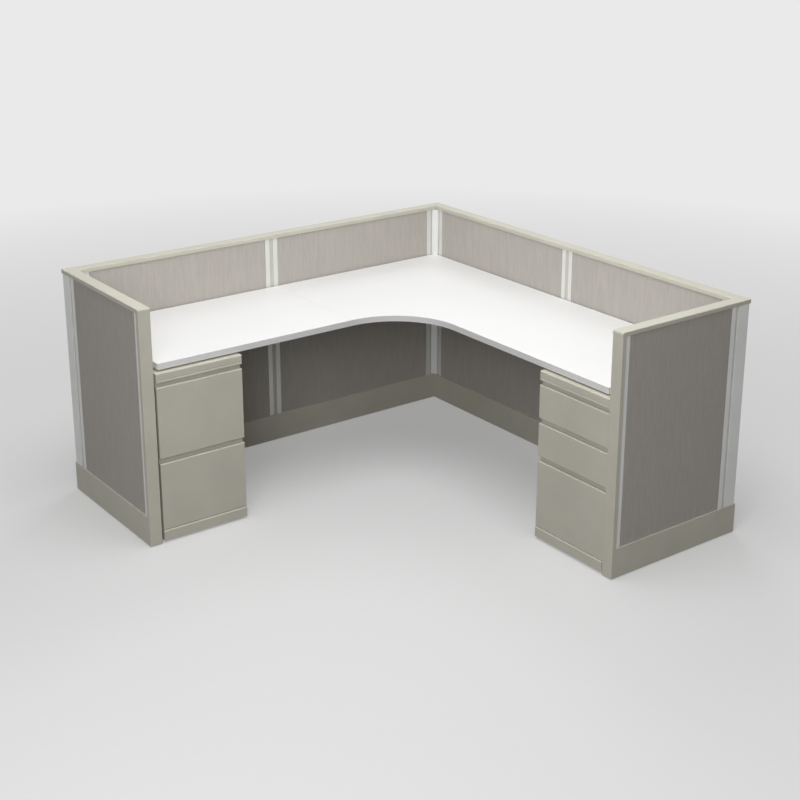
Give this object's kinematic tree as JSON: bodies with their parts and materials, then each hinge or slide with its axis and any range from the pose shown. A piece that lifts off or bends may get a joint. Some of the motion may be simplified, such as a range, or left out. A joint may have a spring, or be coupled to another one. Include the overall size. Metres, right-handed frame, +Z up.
{
  "type": "cubicle workstation",
  "caption": "L-shaped open-plan workstation: low fabric panels with short wings, corner worksurface with curved inner edge, and two drawer pedestals on telescoping slides",
  "frame": {"origin": "on the floor, under the middle of the bounding box of the footprint", "axes": "+X along the back wall towards the right wing, +Y towards the back wall, +Z up; the left wall runs along -Y from the inner corner"},
  "size_m": [1.9658, 1.9658, 0.9906],
  "materials": {
    "panel_fabric": "woven warm grey cloth with fine vertical streaks",
    "silver_paint": "satin light grey powder coat",
    "dark_silver_paint": "satin grey powder coat",
    "trim_paint": "satin warm beige powder coat",
    "pedestal_paint": "satin warm beige powder coat",
    "core_board": "raw fibreboard",
    "white_laminate": "white laminate on a board core",
    "edge_band": "light grey edge band",
    "zinc_steel": "bright zinc plate",
    "bracket_paint": "black powder coat",
    "pad_plastic": "black moulded plastic",
    "glide_plastic": "black moulded plastic on a threaded stud"
  },
  "bodies": {
    "workstation": {"back_wall_base_covers": "trim_paint", "back_wall_cap": "trim_paint", "back_wall_left_frame": "silver_paint", "back_wall_left_inner_tile": "panel_fabric", "back_wall_left_outer_tile": "panel_fabric", "back_wall_right_frame": "silver_paint", "back_wall_right_inner_tile": "panel_fabric", "back_wall_right_outer_tile": "panel_fabric", "cantilever_brackets": "bracket_paint", "corner_bracket": "bracket_paint", "corner_connectors": "dark_silver_paint", "corner_posts": "dark_silver_paint", "corner_worksurface": "white_laminate", "draw_blocks": "bracket_paint", "end_cleats": "bracket_paint", "end_trims": "trim_paint", "inner_post_trims": "silver_paint", "joint_fillers": "trim_paint", "left_pedestal_case": "pedestal_paint", "left_wall_base_covers": "trim_paint", "left_wall_cap": "trim_paint", "left_wall_front_frame": "silver_paint", "left_wall_front_inner_tile": "panel_fabric", "left_wall_front_outer_tile": "panel_fabric", "left_wall_rear_frame": "silver_paint", "left_wall_rear_inner_tile": "panel_fabric", "left_wall_rear_outer_tile": "panel_fabric", "left_wing_base_covers": "trim_paint", "left_wing_frame": "silver_paint", "left_wing_inner_tile": "panel_fabric", "left_wing_outer_tile": "panel_fabric", "left_worksurface": "white_laminate", "levelling_glides": "glide_plastic", "outer_post_covers": "silver_paint", "panel_cores": "core_board", "right_pedestal_case": "pedestal_paint", "right_wing_base_covers": "trim_paint", "right_wing_frame": "silver_paint", "right_wing_inner_tile": "panel_fabric", "right_wing_outer_tile": "panel_fabric", "slide_cabinet_members": "zinc_steel", "splice_plate": "bracket_paint", "wing_caps": "trim_paint", "worksurface_edge_bands": "edge_band", "worksurface_pads": "pad_plastic"},
    "left_lower_drawer": {"left_lower_drawer_front": "pedestal_paint", "left_lower_drawer_tub": "pedestal_paint"},
    "left_lower_slides": {"left_lower_slide_members": "zinc_steel"},
    "left_upper_drawer": {"left_upper_drawer_front": "pedestal_paint", "left_upper_drawer_tub": "pedestal_paint"},
    "left_upper_slides": {"left_upper_slide_members": "zinc_steel"},
    "right_bottom_drawer": {"right_bottom_drawer_front": "pedestal_paint", "right_bottom_drawer_tub": "pedestal_paint"},
    "right_bottom_slides": {"right_bottom_slide_members": "zinc_steel"},
    "right_middle_drawer": {"right_middle_drawer_front": "pedestal_paint", "right_middle_drawer_tub": "pedestal_paint"},
    "right_middle_slides": {"right_middle_slide_members": "zinc_steel"},
    "right_top_drawer": {"right_top_drawer_front": "pedestal_paint", "right_top_drawer_tub": "pedestal_paint"},
    "right_top_slides": {"right_top_slide_members": "zinc_steel"}
  },
  "joints": [
    {"name": "left_lower_drawer_slide", "type": "slide", "parent": "workstation", "child": "left_lower_drawer", "axis": [1, 0, 0], "range_m": [0, 0.5]},
    {"name": "left_lower_slide_extension", "type": "slide", "parent": "workstation", "child": "left_lower_slides", "axis": [1, 0, 0], "range_m": [0, 0.25]},
    {"name": "left_upper_drawer_slide", "type": "slide", "parent": "workstation", "child": "left_upper_drawer", "axis": [1, 0, 0], "range_m": [0, 0.5]},
    {"name": "left_upper_slide_extension", "type": "slide", "parent": "workstation", "child": "left_upper_slides", "axis": [1, 0, 0], "range_m": [0, 0.25]},
    {"name": "right_bottom_drawer_slide", "type": "slide", "parent": "workstation", "child": "right_bottom_drawer", "axis": [0, -1, 0], "range_m": [0, 0.5]},
    {"name": "right_bottom_slide_extension", "type": "slide", "parent": "workstation", "child": "right_bottom_slides", "axis": [0, -1, 0], "range_m": [0, 0.25]},
    {"name": "right_middle_drawer_slide", "type": "slide", "parent": "workstation", "child": "right_middle_drawer", "axis": [0, -1, 0], "range_m": [0, 0.5]},
    {"name": "right_middle_slide_extension", "type": "slide", "parent": "workstation", "child": "right_middle_slides", "axis": [0, -1, 0], "range_m": [0, 0.25]},
    {"name": "right_top_drawer_slide", "type": "slide", "parent": "workstation", "child": "right_top_drawer", "axis": [0, -1, 0], "range_m": [0, 0.5]},
    {"name": "right_top_slide_extension", "type": "slide", "parent": "workstation", "child": "right_top_slides", "axis": [0, -1, 0], "range_m": [0, 0.25]}
  ],
  "couplings": [
    {"joint": "left_lower_slide_extension", "follows": "left_lower_drawer_slide", "ratio": 0.5},
    {"joint": "left_upper_slide_extension", "follows": "left_upper_drawer_slide", "ratio": 0.5},
    {"joint": "right_bottom_slide_extension", "follows": "right_bottom_drawer_slide", "ratio": 0.5},
    {"joint": "right_middle_slide_extension", "follows": "right_middle_drawer_slide", "ratio": 0.5},
    {"joint": "right_top_slide_extension", "follows": "right_top_drawer_slide", "ratio": 0.5}
  ]
}
